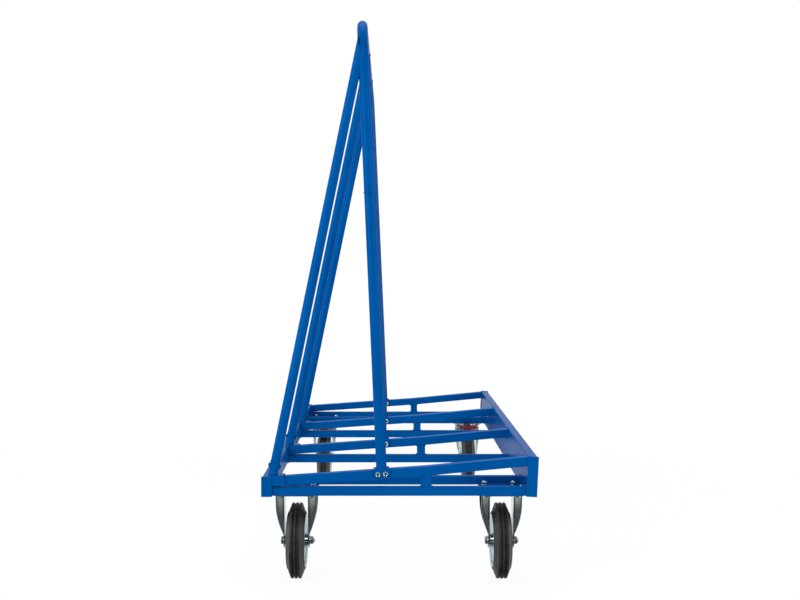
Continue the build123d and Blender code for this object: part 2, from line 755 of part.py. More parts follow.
# Castor bolts come up through both plates, with their nuts inside the frame
bolt_points = castor_bolt_points()
castor_bolt_length = (castor_plate_thickness + mounting_plate_thickness
                      + end_ratio * castor_bolt_radius)
castor_bolts = hex_bolts([Plane((x, y, plate_under)) for x, y in bolt_points],
                         castor_bolt_radius, castor_bolt_length)
save(castor_bolts, "castor_bolts")
castor_nuts = hex_nuts([Plane((x, y, frame_bottom + mounting_plate_thickness))
                        for x, y in bolt_points], castor_bolt_radius)
save(castor_nuts, "castor_nuts")

# Wheels: ribbed rubber tyre, pressed steel centre and roller bearing
tyre_seat = tyre_bore / 2
tyre_half = tyre_width / 2
rim_half = tyre_half - rim_thickness
hub_half = fork_gap / 2 - hub_clearance
disc_radius = tyre_seat * 0.68  # where the pressed disc turns out to the rim
tyre_outline = [
    (rim_half, tyre_seat),
    (rim_half, tyre_seat + rim_lip),
    (tyre_half, tyre_seat + 1.5 * rim_lip),
    (shoulder_width / 2, wheel_radius - shoulder_depth),
    (crown_width / 2, wheel_radius - crown_round),
    (crown_width / 2 - crown_round, wheel_radius)]
rim_outline = [
    (hub_half, bearing_radius),
    (hub_half, hub_radius),
    (hub_half / 3, hub_radius + rim_lip),
    (hub_half / 3, disc_radius),
    (rim_half - rim_thickness, tyre_seat - rim_thickness),
    (tyre_half, tyre_seat),
    (tyre_half, tyre_seat + rim_lip),
    (rim_half, tyre_seat + rim_lip),
    (rim_half, tyre_seat)]
cavity_outline = [
    (hub_half / 3 - rim_thickness, hub_radius),
    (hub_half / 3 - rim_thickness, disc_radius),
    (rim_half - 2.5 * rim_thickness, tyre_seat - rim_thickness)]


def mirrored(points):
    """Close a half outline, given from the middle plane outwards, with its mirror image."""
    return points + [(-along, radius) for along, radius in reversed(points)]


def wheel(x, y, name):
    """One wheel, whose axle runs across the cart. Its outlines are (along, radius)."""
    section = Plane(origin=(x, y, wheel_radius), x_dir=(1, 0, 0), z_dir=(0, -1, 0))
    axle_line = Axis(section.origin, section.x_dir)
    with BuildPart() as tyre:
        with BuildSketch(section):
            Polygon(*mirrored(tyre_outline), align=None)
            with GridLocations(groove_pitch, 1, groove_count, 1):
                with Locations((0, wheel_radius)):
                    Rectangle(groove_width, 2 * groove_depth, mode=Mode.SUBTRACT)
        revolve(axis=axle_line)
    save(tyre.part, f"tyre_{name}")

    with BuildPart() as rim:
        with BuildSketch(section):
            Polygon(*mirrored(rim_outline), align=None)
            Polygon(*mirrored(cavity_outline), align=None, mode=Mode.SUBTRACT)
        revolve(axis=axle_line)
    save(rim.part, f"rim_{name}")

    with BuildPart() as bearing:
        with BuildSketch(axle_plane(x, y, -hub_half)):
            Circle(bearing_radius)
            Circle(sleeve_radius + running_clearance, mode=Mode.SUBTRACT)
        extrude(amount=2 * hub_half)
    save(bearing.part, f"bearing_{name}")


for hand, castor_x in castor_xs.items():
    wheel(castor_x, -castor_y, f"fixed_{hand}")
    wheel(castor_x, castor_y - swivel_trail, f"swivel_{hand}")

# Brake pedals: two ears on a cross pin, a foot plate that rises outwards, and a brake shoe
ear_outside = pedal_ear_gap / 2 + pedal_ear_thickness
pin_half = web_out + 2
for hand, castor_x in castor_xs.items():
    pin_y = castor_y + pedal_pin_y
    pin_line = along_plane(castor_x - pin_half, pin_y, pedal_pin_z)
    with BuildPart() as pedal_pin:
        with BuildSketch(pin_line):
            Circle(pedal_pin_radius)
        extrude(amount=2 * pin_half)
    save(pedal_pin.part, f"pedal_pin_{hand}")

    rise = radians(pedal_rise)
    tread_plane = Plane(origin=(castor_x, pin_y, pedal_pin_z), x_dir=(-1, 0, 0),
                        z_dir=(0, sin(rise), cos(rise)))
    with BuildPart() as pedal:
        with BuildSketch(tread_plane.offset(pedal_pin_radius)):
            with Locations((0, pedal_neck / 2)):
                Rectangle(2 * ear_outside, pedal_neck)
            with Locations((0, (pedal_neck + pedal_reach) / 2)):
                RectangleRounded(pedal_width, pedal_reach - pedal_neck, plate_corner * 6)
        extrude(amount=pedal_thickness)
        with BuildSketch(tread_plane.offset(pedal_pin_radius)):
            with Locations((0, pedal_reach - pedal_thickness / 2)):
                Rectangle(pedal_width - plate_corner * 12, pedal_thickness)
        extrude(amount=-pedal_lip)
        with BuildSketch(tread_plane.offset(pedal_pin_radius)):
            with Locations((0, shoe_start + shoe_length / 2)):
                Rectangle(crown_width, shoe_length)
        extrude(amount=-(pedal_pin_radius + shoe_drop))
        for side in (-1, 1):
            with BuildSketch(along_plane(castor_x + side * pedal_ear_gap / 2, pin_y, pedal_pin_z)):
                Circle(pedal_ear_radius)
            extrude(amount=side * pedal_ear_thickness)
        with BuildSketch(pin_line):
            Circle(pedal_pin_radius + running_clearance)
        extrude(amount=2 * pin_half, mode=Mode.SUBTRACT)
    save(pedal.part, f"brake_pedal_{hand}")
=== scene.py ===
# Drywall cart: finishes, welds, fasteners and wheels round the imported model, with a studio
# floor, soft lights and the photograph's camera. Metres, +Z up, the near end at -Y.
import json
from math import cos, pi, radians, sin, tan

import bmesh
import bpy
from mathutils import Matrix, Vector
from mathutils.bvhtree import BVHTree


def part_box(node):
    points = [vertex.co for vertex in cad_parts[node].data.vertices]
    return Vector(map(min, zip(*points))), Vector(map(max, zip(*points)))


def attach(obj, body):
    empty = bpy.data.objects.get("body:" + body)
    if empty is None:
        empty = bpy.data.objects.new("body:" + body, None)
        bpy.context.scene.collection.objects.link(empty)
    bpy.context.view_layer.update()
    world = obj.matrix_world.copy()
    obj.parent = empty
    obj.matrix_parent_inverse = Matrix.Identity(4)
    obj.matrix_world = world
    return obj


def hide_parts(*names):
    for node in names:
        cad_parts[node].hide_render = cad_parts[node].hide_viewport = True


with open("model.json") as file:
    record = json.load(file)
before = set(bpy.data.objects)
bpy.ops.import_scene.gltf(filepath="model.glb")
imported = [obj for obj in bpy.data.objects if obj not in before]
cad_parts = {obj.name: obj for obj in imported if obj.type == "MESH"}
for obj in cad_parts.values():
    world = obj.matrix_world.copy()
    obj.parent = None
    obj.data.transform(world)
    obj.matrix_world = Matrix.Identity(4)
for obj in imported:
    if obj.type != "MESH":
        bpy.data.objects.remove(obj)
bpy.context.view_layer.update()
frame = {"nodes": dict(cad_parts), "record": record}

# Camera, from the photograph's vanishing point and the near end of the frame
image_width = 800
image_height = 600
vanish_x = 389  # pixel that the level camera looks straight at
vanish_y = 263
lens_pixels = 1111
sensor_mm = 36
camera_place = (-0.029, -3.667, 0.849)
near_clip = 0.05
far_clip = 100

# Studio
floor_size = 30
floor_color = (0.94, 0.94, 0.94)
floor_roughness = 0.9
floor_glow_near = 0.94  # share of plain white in the floor by the cart, for camera and gloss
floor_glow_start = 1.0  # where that share starts to rise to 1, from the middle of the cart
floor_glow_end = 2.2
# Painted reflections in the floor, seen only in gloss: glowing strips that put painted highlights on
# the castors' legs, and dark bands of painted shade that stand for the cart's shadow before it
painted_reflection_bands = [  # place along Y and how bright gloss shows the floor there
    (-1.55, 0.04), (-1.40, 0.9), (-1.22, 0.9), (-1.08, 0.05), (-0.74, 0.04), (-0.60, 1.0)]
ambient_level = 0.5
dark_side_level = 0.04  # how bright gloss shows the room behind the camera
dark_side_start = -0.6  # Y of a direction
dark_side_end = 0.05
lamps = [  # name, place, target, size and watts
    ("key_light", (-3.1, -2.9, 1.9), (0, 0, 0.6), 2.8, 88),
    ("fill_light", (3.2, -2.3, 1.4), (0, 0, 0.5), 1.6, 38),
    ("top_light", (0, 0.5, 4.2), (0, 0, 0.3), 2.5, 70),
    ("front_light", (-0.1, -3.7, 2.5), (0, -0.7, 0.8), 0.6, 14)]

# Meshes and their shading
merge_distance = 1e-6
sharp_edge = radians(40)
bevel_samples = 4

# Posts, hoop and braces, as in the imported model
post_lean = radians(2.52)
post_radius = 0.014
post_foot_x = -0.049
joint_height = 1.036
brace_radius = 0.0127
brace_joint_height = 0.325
brace_foot_inset = 0.010
brace_meet_drop = 0.050
board_tilt = radians(2.8)
foot_divide_x = -0.2  # between the feet of the posts and those of the braces

# Welds
weld_step = 0.0011
weld_ripple = 0.0032  # between two ripples
weld_ripple_depth = 0.14
weld_sides = 8
weld_end_share = 0.3  # thickness at the ends of an open bead
rail_weld = 0.0022
post_weld = 0.0026
plate_weld = 0.0016
plate_weld_half = 0.012
plate_weld_place = 0.3  # from the castor's middle, in widths of its plate
tube_corner = 0.003
corner_steps = 3
ring_steps = 40  # lines that find a weld round a tube
post_scan_height = 0.37  # where the lines start down to a post's foot
hoop_scan_height = 1.40  # where they start up to the hoop
brace_scan_reach = 0.95  # and up a brace
post_weld_inset = 0.0003

# Lips of the slip joints
collar_outline = [(0.4, 0.0), (0.2, 1.0), (-0.5, 1.0), (-0.8, 0.0)]  # in collar heights and lips
collar_height = 0.004
collar_lip = 0.0014
collar_sink = 0.0002
collar_depth = 0.001
collar_steps = 48

# Fasteners, in radii of the shank unless a comment says otherwise
hex_steps = 48
head_width = 1.65  # half the width over flats
head_height = 1.3
head_zone = 0.9  # the head's corners lie beyond this share of a bolt's widest radius
bearing_width = 0.98  # round face under a head or nut, in half widths
head_flats_start = 1.3  # in thicknesses of the washer
nut_flats_start = 0.1  # above the washer
chamfer_width = 0.95  # flat top inside the chamfer, in half widths
chamfer_slope = tan(radians(30))
washer_wide = 1.95
washer_thick = 0.3
washer_edge = 0.7  # where its chamfer starts, in its thicknesses
washer_top = 0.95  # radius inside the chamfer, in washer radii
shank_width = 0.98
tip_length = 0.3
tip_width = 0.75
thread_pitch = 0.00125  # in metres
thread_depth = 0.06
dome_inset = 1.4  # how much shorter a domed bolt is, in half widths

# Outlines of round heads, in head heights and half widths
cap_outline = [(0.0, 1.1), (0.56, 1.1), (0.95, 0.84), (1.0, 0.78), (0.95, 0.72), (0.66, 0.5),
               (0.62, 0.42)]
dome_outline = [(0.0, 0.8), (0.3, 0.8), (0.55, 0.66), (0.7, 0.4), (0.75, 0.15)]

# Painted middle inside a cap's raised ring, in head heights and its own radii
middle_outline = [(0.5, 1.0), (0.72, 0.97), (0.76, 0.8)]
middle_width = 0.5  # in half widths

# Wheels: half outlines as (place along the axle, radius), from the middle outwards
lathe_steps = 112
tyre_half = [
    (0.0000, 0.1000), (0.0024, 0.1000), (0.0028, 0.0996), (0.0032, 0.0962), (0.0037, 0.0957),
    (0.0043, 0.0956), (0.0060, 0.0956), (0.0066, 0.0957), (0.0071, 0.0962), (0.0075, 0.0995),
    (0.0079, 0.0999), (0.0120, 0.0996), (0.0136, 0.0986), (0.0144, 0.0966), (0.0166, 0.0906),
    (0.0176, 0.0880), (0.0184, 0.0872), (0.0190, 0.0858), (0.0204, 0.0806), (0.0224, 0.0775),
    (0.0240, 0.0752), (0.0248, 0.0732), (0.0248, 0.0718), (0.0236, 0.0704), (0.0220, 0.0698),
    (0.0220, 0.0662)]
rim_half = [
    (0.0068, 0.0600), (0.0098, 0.0615), (0.0150, 0.0628), (0.0216, 0.0650), (0.0222, 0.0696),
    (0.0240, 0.0700), (0.0250, 0.0692), (0.0248, 0.0672), (0.0226, 0.0656), (0.0200, 0.0630),
    (0.0186, 0.0600), (0.0172, 0.0560), (0.0142, 0.0510), (0.0110, 0.0450), (0.0098, 0.0420),
    (0.0096, 0.0270), (0.0104, 0.0236), (0.0130, 0.0206), (0.0170, 0.0194), (0.0292, 0.0190),
    (0.0298, 0.0184), (0.0298, 0.0142)]
rivet_count = 6
rivet_circle = 0.033
rivet_seat = 0.0094  # place along the axle
rivet_radius = 0.0032
rivet_height = 0.0016
rivet_outline = [(0.0, 1.0), (0.45, 0.92), (0.8, 0.66), (1.0, 0.25)]  # in its heights and radii
rivet_steps = 20

# Rounded faces of the fixed castors' pressed legs
face_low = 0.124
face_drop = 0.0055  # from the top of the castor's plate
face_rows = 36
face_steps = 12
face_bulge = 0.0028
face_sharpness = 5  # power that keeps the middle flat and rolls the edges
face_full_width = 0.012  # where the flange is narrower than this, the bulge shrinks
face_sink = 0.0004
scan_clear = 0.01  # how far outside the castor the lines start
scan_reach = 0.06
scan_step = 0.0002

cross_ys = [(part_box(f"bottom_rail_{number}")[0][1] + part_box(f"bottom_rail_{number}")[1][1]) / 2
            for number in range(1, 5)]
upright_ys = cross_ys[1:3]
brace_ys = cross_ys[:3]
deck_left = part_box("left_rail")[1][0]


# Materials
def color_from_srgb(red, green, blue):
    """Linear colour of 0 to 255 screen values."""
    def linear(value):
        share = value / 255
        return share / 12.92 if share <= 0.04045 else ((share + 0.055) / 1.055) ** 2.4
    return linear(red), linear(green), linear(blue), 1.0


class Nodes:
    """A node tree under construction, and short ways to add nodes and join them."""

    def __init__(self, tree):
        self.tree = tree

    def join(self, source, target):
        self.tree.links.new(source, target)

    def add(self, kind, **values):
        """A new node. Each value sets the input of that name, with underscores for its spaces, or
        a property."""
        node = self.tree.nodes.new(kind)
        for key, value in values.items():
            socket = key.replace("_", " ")
            if socket in node.inputs:
                node.inputs[socket].default_value = value
            else:
                setattr(node, key, value)
        return node

    def feed(self, kind, socket, source, **values):
        """A new node that takes a source in on one of its sockets."""
        node = self.add(kind, **values)
        self.join(source, node.inputs[socket])
        return node

    def between(self, source, **ends):
        """A value mapped from one range to another. An end that isn't given is 0 or 1."""
        return self.feed("ShaderNodeMapRange", "Value", source, **ends).outputs["Result"]

    def ramp(self, source, stops):
        """Colour from a value, by a list of (place, colour)."""
        node = self.feed("ShaderNodeValToRGB", "Fac", source)
        elements = node.color_ramp.elements
        while len(elements) < len(stops):
            elements.new(0.5)
        for element, (place, color) in zip(elements, stops):
            element.position = place
            element.color = color
        return node.outputs["Color"]


class Finish(Nodes):
    """A procedural material under construction."""

    def __init__(self, name):
        self.material = bpy.data.materials.new(name)
        self.material.use_nodes = True
        super().__init__(self.material.node_tree)
        self.shader = self.tree.nodes["Principled BSDF"]
        self.place = self.add("ShaderNodeTexCoord").outputs["Object"]

    def set(self, **values):
        """Plain values on the shader's own sockets, with underscores for their spaces."""
        for key, value in values.items():
            self.shader.inputs[key.replace("_", " ")].default_value = value

    def noise(self, scale, detail=3.0, roughness=0.5):
        """Noise over the object's coordinates, at scale waves a metre."""
        return self.feed("ShaderNodeTexNoise", "Vector", self.place, Scale=scale, Detail=detail,
                         Roughness=roughness).outputs["Fac"]

    def color(self, source, *stops):
        """Base colour from a value, by stops of (place, screen colour)."""
        linear = [(place, color_from_srgb(*color)) for place, color in stops]
        self.join(self.ramp(source, linear), self.shader.inputs["Base Color"])

    def roughness(self, source, low, high):
        """Roughness from low to high, by a value."""
        self.join(self.between(source, To_Min=low, To_Max=high), self.shader.inputs["Roughness"])

    def bump(self, height, strength, depth, edge):
        """Bump from a height, over edges rounded by an edge radius."""
        node = self.feed("ShaderNodeBump", "Height", height, Strength=strength, Distance=depth)
        rounded = self.add("ShaderNodeBevel", samples=bevel_samples, Radius=edge)
        self.join(rounded.outputs["Normal"], node.inputs["Normal"])
        self.join(node.outputs["Normal"], self.shader.inputs["Normal"])


def blue_powder_coat():
    """Glossy blue powder coat with a faint orange peel and slight changes of depth."""
    finish = Finish("blue_powder_coat")
    finish.color(finish.noise(5.0, detail=4.0), (0.3, (0, 78, 148)), (0.7, (0, 85, 158)))
    finish.roughness(finish.noise(60.0), low=0.2, high=0.3)
    # A little blue metal in place of clear gloss, which would look white along the tubes' edges
    finish.set(Specular_IOR_Level=0.01, Metallic=0.13, Specular_Tint=(0.01, 0.12, 0.4, 1.0))
    finish.bump(finish.noise(900.0, detail=2.0), strength=0.1, depth=0.0002, edge=0.001)
    return finish.material


def zinc_plate():
    """Zinc plate with a faint teal passivation, cloudy in patches, and fine scratches."""
    finish = Finish("zinc_plate")
    finish.color(finish.noise(26.0, detail=5.0, roughness=0.6), (0.3, (138, 160, 166)),
                 (0.5, (188, 200, 202)), (0.72, (156, 172, 182)))
    finish.set(Metallic=1.0)
    finish.roughness(finish.noise(140.0, detail=4.0), low=0.09, high=0.18)
    finish.bump(finish.noise(500.0, detail=3.0), strength=0.1, depth=0.0002, edge=0.0014)
    return finish.material


def plain_steel():
    """Oiled machined steel for pins, sleeves and spigots."""
    finish = Finish("plain_steel")
    finish.color(finish.noise(40.0, detail=4.0), (0.3, (140, 142, 146)), (0.7, (172, 174, 176)))
    finish.set(Metallic=1.0)
    finish.roughness(finish.noise(200.0), low=0.3, high=0.45)
    finish.bump(finish.noise(700.0), strength=0.08, depth=0.0001, edge=0.0004)
    return finish.material


def tyre_rubber():
    """Black solid rubber, a little dusty, with a fine moulded grain."""
    finish = Finish("tyre_rubber")
    finish.color(finish.noise(35.0, detail=5.0, roughness=0.65), (0.35, (32, 32, 31)),
                 (0.75, (55, 54, 52)))
    finish.roughness(finish.noise(90.0), low=0.38, high=0.52)
    finish.set(Specular_IOR_Level=0.25)
    finish.bump(finish.noise(1100.0, detail=3.0), strength=0.2, depth=0.0003, edge=0.0006)
    return finish.material


def red_coat():
    """Dark red powder coat of the brake pedals."""
    finish = Finish("red_coat")
    finish.color(finish.noise(18.0, detail=4.0), (0.3, (104, 12, 38)), (0.7, (124, 17, 46)))
    finish.roughness(finish.noise(80.0), low=0.3, high=0.45)
    finish.bump(finish.noise(800.0), strength=0.12, depth=0.0002, edge=0.0006)
    return finish.material


finishes = {
    "blue_paint": blue_powder_coat(),
    "zinc_plate": zinc_plate(),
    "plain_steel": plain_steel(),
    "tyre_rubber": tyre_rubber(),
    "red_pedal": red_coat(),
}


def dress_nodes():
    """Gives every CAD node the finish of its slot."""
    for row in frame["record"]["subparts"]:
        node = frame["nodes"][row["node"]]
        node.data.materials.clear()
        node.data.materials.append(finishes[row["material_slot"]])


# Small helpers for pieces
def add_piece(name, mesh, body, slot, *nodes):
    """Turns a bmesh into a piece on a body, which may stand for CAD nodes."""
    bmesh.ops.recalc_face_normals(mesh, faces=mesh.faces)
    for face in mesh.faces:
        face.smooth = True
    for edge in mesh.edges:
        edge.smooth = len(edge.link_faces) == 2 and edge.calc_face_angle() < sharp_edge
    data = bpy.data.meshes.new(name)
    mesh.to_mesh(data)
    mesh.free()
    data.materials.append(finishes[slot])
    piece = bpy.data.objects.new(name, data)
    bpy.context.scene.collection.objects.link(piece)
    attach(piece, body)
    if nodes:
        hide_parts(*nodes)
    return piece


def skin(mesh, loops, joined=False):
    """Faces between loops of corners, with the last joined to the first or both ends closed."""
    pairs = list(zip(loops, loops[1:]))
    if joined:
        pairs.append((loops[-1], loops[0]))
    for low, high in pairs:
        for k in range(len(low)):
            mesh.faces.new((low[k - 1], low[k], high[k], high[k - 1]))
    if not joined:
        mesh.faces.new(loops[0])
        mesh.faces.new(loops[-1])


def turn(mesh, start, axis, rings, steps, joined=False):
    """Turns rings of (height, radius) round an axis. A radius may depend on the angle."""
    axis = axis.normalized()
    first = axis.orthogonal().normalized()
    second = axis.cross(first)
    loops = []
    for height, radius in rings:
        loop = []
        for k in range(steps):
            angle = 2 * pi * k / steps
            reach = radius(angle) if callable(radius) else radius
            place = start + axis * height + (first * cos(angle) + second * sin(angle)) * reach
            loop.append(mesh.verts.new(place))
        loops.append(loop)
    skin(mesh, loops, joined)


def scaled(outline, height, radius):
    """The real sizes of an outline in shares of a height and a radius."""
    return [(level * height, share * radius) for level, share in outline]


def surface(*names):
    """The faces of some CAD nodes, as a tree that lines can be cast on."""
    corners = []
    faces = []
    for name in names:
        data = frame["nodes"][name].data
        start = len(corners)
        corners += [vert.co.copy() for vert in data.vertices]
        faces += [[start + k for k in face.vertices] for face in data.polygons]
    return BVHTree.FromPolygons(corners, faces)


def solids(name):
    """The corners of each loose solid in a CAD node, in the same order each run."""
    mesh = bmesh.new()
    mesh.from_mesh(frame["nodes"][name].data)
    bmesh.ops.remove_doubles(mesh, verts=mesh.verts, dist=merge_distance)
    reached = set()
    found = []
    for first in mesh.verts:
        if first in reached:
            continue
        reached.add(first)
        group = [first]
        for vert in group:
            for edge in vert.link_edges:
                other = edge.other_vert(vert)
                if other not in reached:
                    reached.add(other)
                    group.append(other)
        found.append([vert.co.copy() for vert in group])
    mesh.free()
    return found


# Welds
def spaced(path, closed):
    """A path with a point every weld_step."""
    ends = path + path[:1] if closed else path
    places = []
    spare = 0.0
    for start, end in zip(ends, ends[1:]):
        length = (end - start).length
        while spare < length:
            places.append(start.lerp(end, spare / length))
            spare += weld_step
        spare -= length
    return places


def bead(mesh, path, radius, closed=True):
    """A weld bead along a path, with the ripples that the torch leaves."""
    path = spaced(path, closed)
    count = len(path)
    middle = average(path)
    loops = []
    for k, place in enumerate(path):
        before = path[k - 1] if closed or k else place
        after = path[(k + 1) % count] if closed or k + 1 < count else place
        along = (after - before).normalized()
        outward = place - middle if closed else Vector((0, 0, 1))
        outward = (outward - along * outward.dot(along)).normalized()
        beside = along.cross(outward)
        size = radius * (1 + weld_ripple_depth * sin(2 * pi * k * weld_step / weld_ripple))
        if not closed:
            to_end = min(k, count - 1 - k) * weld_step
            size *= min(1, weld_end_share + to_end / (2 * radius))
        loops.append([mesh.verts.new(place + (outward * cos(turned) + beside * sin(turned)) * size)
                      for turned in (2 * pi * side / weld_sides for side in range(weld_sides))])
    skin(mesh, loops, joined=closed)


def ring_path(target, start, direction, radius):
    """Where the lines of a round tube meet a surface, from a start on its centre line."""
    direction = direction.normalized()
    first = direction.orthogonal().normalized()
    second = direction.cross(first)
    path = []
    for k in range(ring_steps):
        angle = 2 * pi * k / ring_steps
        edge = start + (first * cos(angle) + second * sin(angle)) * radius
        hit = target.ray_cast(edge, direction)[0]
        if hit:
            path.append(hit)
    return path


def box_path(middle_y, half_width, low_z, high_z, x_at):
    """Round the end of a box tube, where it stands on a face whose place is x_at(z)."""
    path = []
    for side_y, side_z, turned in ((1, 1, 0), (-1, 1, 1), (-1, -1, 2), (1, -1, 3)):
        corner_y = middle_y + side_y * (half_width - tube_corner)
        corner_z = (high_z - tube_corner) if side_z > 0 else (low_z + tube_corner)
        for step in range(corner_steps + 1):
            angle = (turned + step / corner_steps) * pi / 2
            y = corner_y + tube_corner * cos(angle)
            z = corner_z + tube_corner * sin(angle)
            path.append(Vector((x_at(z), y, z)))
    return path


def post_x(z):
    """Where the posts' centre line is across the cart, at a height."""
    return post_foot_x - (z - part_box("lower_post_1")[0][2]) * tan(post_lean)


post_up = Vector((-sin(post_lean), 0, cos(post_lean)))
hoop_axis_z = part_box("front_hoop")[1][2] - post_radius
brace_foot = Vector((deck_left + brace_foot_inset, 0, brace_joint_height))
brace_meet = Vector((post_x(hoop_axis_z - brace_meet_drop), 0, hoop_axis_z - brace_meet_drop))
brace_up = (brace_meet - brace_foot).normalized()


def rail_welds(mesh):
    """Beads round both ends of every cross rail."""
    rail_low, rail_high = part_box("bottom_rail_1")

    def left_face(z):
        return deck_left

    def board_face(z):
        return rail_high[0] + (z - rail_high[2]) * tan(board_tilt)

    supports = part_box("castor_supports")
    half_rail = (rail_high[1] - rail_low[1]) / 2
    rail_ys = cross_ys + [supports[0][1] + half_rail, supports[1][1] - half_rail]
    for y in rail_ys:
        for face in (left_face, board_face):
            bead(mesh, box_path(y, half_rail, rail_low[2], rail_high[2], face), rail_weld)
    left_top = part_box("left_rail")[1][2]
    for number, y in enumerate(cross_ys, start=1):
        low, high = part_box(f"deck_rail_{number}")
        depth = high[1] - low[1]
        for top, face in ((left_top, left_face), (high[2], board_face)):
            bead(mesh, box_path(y, depth / 2, top - depth, top, face), rail_weld)


def tube_welds(mesh):
    """Beads at the feet of the posts, and where uprights and braces are coped to the hoop."""
    feet = surface("post_feet")
    hoop = surface("front_hoop")
    posts = surface("front_hoop", "hoop_uprights")
    for y in cross_ys:
        above = Vector((post_x(post_scan_height), y, post_scan_height))
        bead(mesh, ring_path(feet, above, -post_up, post_radius), post_weld)
    for y in upright_ys:
        under = Vector((post_x(hoop_scan_height), y, hoop_scan_height))
        bead(mesh, ring_path(hoop, under, post_up, post_radius - post_weld_inset), rail_weld)
    for y in brace_ys:
        under = brace_foot + brace_up * brace_scan_reach + Vector((0, y, 0))
        bead(mesh, ring_path(posts, under, brace_up, brace_radius), rail_weld)


def plate_welds(mesh):
    """Short beads along the edges of the castors' mounting plates."""
    low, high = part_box("castor_mounting_plates")
    edge = abs(low[1])
    for side in (-1, 1):
        for hand in ("left", "right"):
            castor_low, castor_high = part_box(f"fixed_housing_{hand}")
            middle = (castor_low[0] + castor_high[0]) / 2
            reach = plate_weld_place * (castor_high[0] - castor_low[0])
            for x in (middle - reach, middle + reach):
                ends = [Vector((x + half, side * edge, high[2]))
                        for half in (-plate_weld_half, plate_weld_half)]
                bead(mesh, ends, plate_weld, closed=False)


def weld_frame():
    """All the beads of the frame, painted with it, as one piece."""
    mesh = bmesh.new()
    rail_welds(mesh)
    tube_welds(mesh)
    plate_welds(mesh)
    add_piece("frame_welds", mesh, "frame", "blue_paint")


def joint_collars():
    """The rolled lips of the slip joints, on the posts and the braces."""
    mesh = bmesh.new()
    joints = [(Vector((post_x(joint_height), y, joint_height)), post_up, post_radius)
              for y in cross_ys]
    joints += [(brace_foot + Vector((0, y, 0)), brace_up, brace_radius) for y in brace_ys]
    for place, up, radius in joints:
        rings = [(height * collar_height, radius - collar_sink + out * collar_lip)
                 for height, out in collar_outline]
        rings.append((0, radius - collar_depth))
        turn(mesh, place, up, rings, collar_steps, joined=True)
    add_piece("joint_collars", mesh, "frame", "blue_paint")


# Fasteners
def hexagon(half_flat):
    """Radius of a hexagon by angle."""
    def radius(angle):
        return half_flat / cos(angle % (pi / 3) - pi / 6)
    return radius


def hex_rings(half_flat, low, flats_start, high):
    """A hexagon from its round bearing face to its chamfered top."""
    flats = hexagon(half_flat)
    top_radius = chamfer_width * half_flat
    chamfer = (half_flat / cos(pi / 6) - top_radius) * chamfer_slope
    return [(low, bearing_width * half_flat), (flats_start, flats), (high - chamfer, flats),
            (high, top_radius)]


def washer(mesh, seat, out, radius):
    """A plain washer round a shank of a radius. Returns its thickness."""
    thick = washer_thick * radius
    wide = washer_wide * radius
    rings = [(0, wide), (washer_edge * thick, wide), (thick, washer_top * wide), (thick, radius)]
    turn(mesh, seat, out, rings, hex_steps)
    return thick


def bolt(mesh, seat, out, radius, length, head):
    """A bolt whose head stands out of its seat: a hexagon on a washer, a cap or a low dome."""
    half_flat = radius * head_width
    high = radius * head_height
    tip = -length
    if head == "hexagon":
        thick = washer(mesh, seat, out, radius)
        rings = hex_rings(half_flat, thick, head_flats_start * thick, high)
    elif head == "cap":
        rings = scaled(cap_outline, high, half_flat)
    else:
        rings = scaled(dome_outline, high, half_flat)
        tip += dome_inset * half_flat
    turn(mesh, seat, out, rings, hex_steps)
    shank = radius * shank_width
    turn(mesh, seat, out, [(0, shank), (tip + radius * tip_length, shank),
                           (tip, radius * tip_width)], hex_steps)


def nut(mesh, seat, out, radius, height, reach):
    """A hexagon nut on a washer, and the threads of the shank that stands out of it."""
    half_flat = radius * head_width
    thick = washer(mesh, seat, out, radius)
    rings = hex_rings(half_flat, thick, thick + nut_flats_start * radius, height)
    turn(mesh, seat, out, rings, hex_steps)
    threads = []
    level = height - thread_pitch
    while level < reach - thread_pitch / 2:
        threads += [(level, radius * (1 - thread_depth)), (level + thread_pitch / 2, radius)]
        level += thread_pitch
    turn(mesh, seat, out, threads + [(reach, radius * tip_width)], hex_steps)


def average(points):
    """The point in the middle of some points, each with the same weight."""
    return sum(points, Vector()) / len(points)


def extent(points, axis):
    """Lowest and highest place of some points along an axis."""
    along = [point.dot(axis) for point in points]
    return min(along), max(along)


def bolt_facts(points, choices):
    """Of a plain CAD bolt: the seat of its head on its middle line, the way its head faces, the
    radius of its corners and its length under the head. Its axis is one of the choices."""
    middle = (Vector(map(min, zip(*points))) + Vector(map(max, zip(*points)))) / 2

    def off_axis(point, axis):
        return (point - middle - axis * (point - middle).dot(axis)).length

    def spread(axis):
        return max(off_axis(point, axis) for point in points)

    axis = min(choices, key=spread)
    low, high = extent(points, axis)
    widest = spread(axis)
    head = [point.dot(axis) for point in points if off_axis(point, axis) > head_zone * widest]
    line = middle - axis * middle.dot(axis)
    if sum(head) / len(head) > (low + high) / 2:
        return line + axis * min(head), axis, widest, min(head) - low
    return line + axis * max(head), -axis, widest, high - max(head)


def fasten(name, bolts, nuts, body, choices, head="hexagon", slot="zinc_plate"):
    """Detailed bolts and nuts in the places of plain CAD ones, as one piece."""
    mesh = bmesh.new()
    loose_nuts = list(nuts)
    for points in bolts:
        seat, out, widest, length = bolt_facts(points, choices)
        radius = widest * cos(pi / 6) / head_width
        bolt(mesh, seat, out, radius, length, head)
        tip = seat - out * length
        nearest = min(loose_nuts, key=lambda corners: (average(corners) - tip).length)
        loose_nuts.remove(nearest)
        low, high = extent([corner - seat for corner in nearest], -out)
        if head == "dome":
            rings = scaled(dome_outline, radius * head_height, radius * head_width)
            turn(mesh, seat - out * low, -out, rings, hex_steps)
        else:
            nut(mesh, seat - out * low, -out, radius, high - low, length - low)
    return add_piece(name, mesh, body, slot)


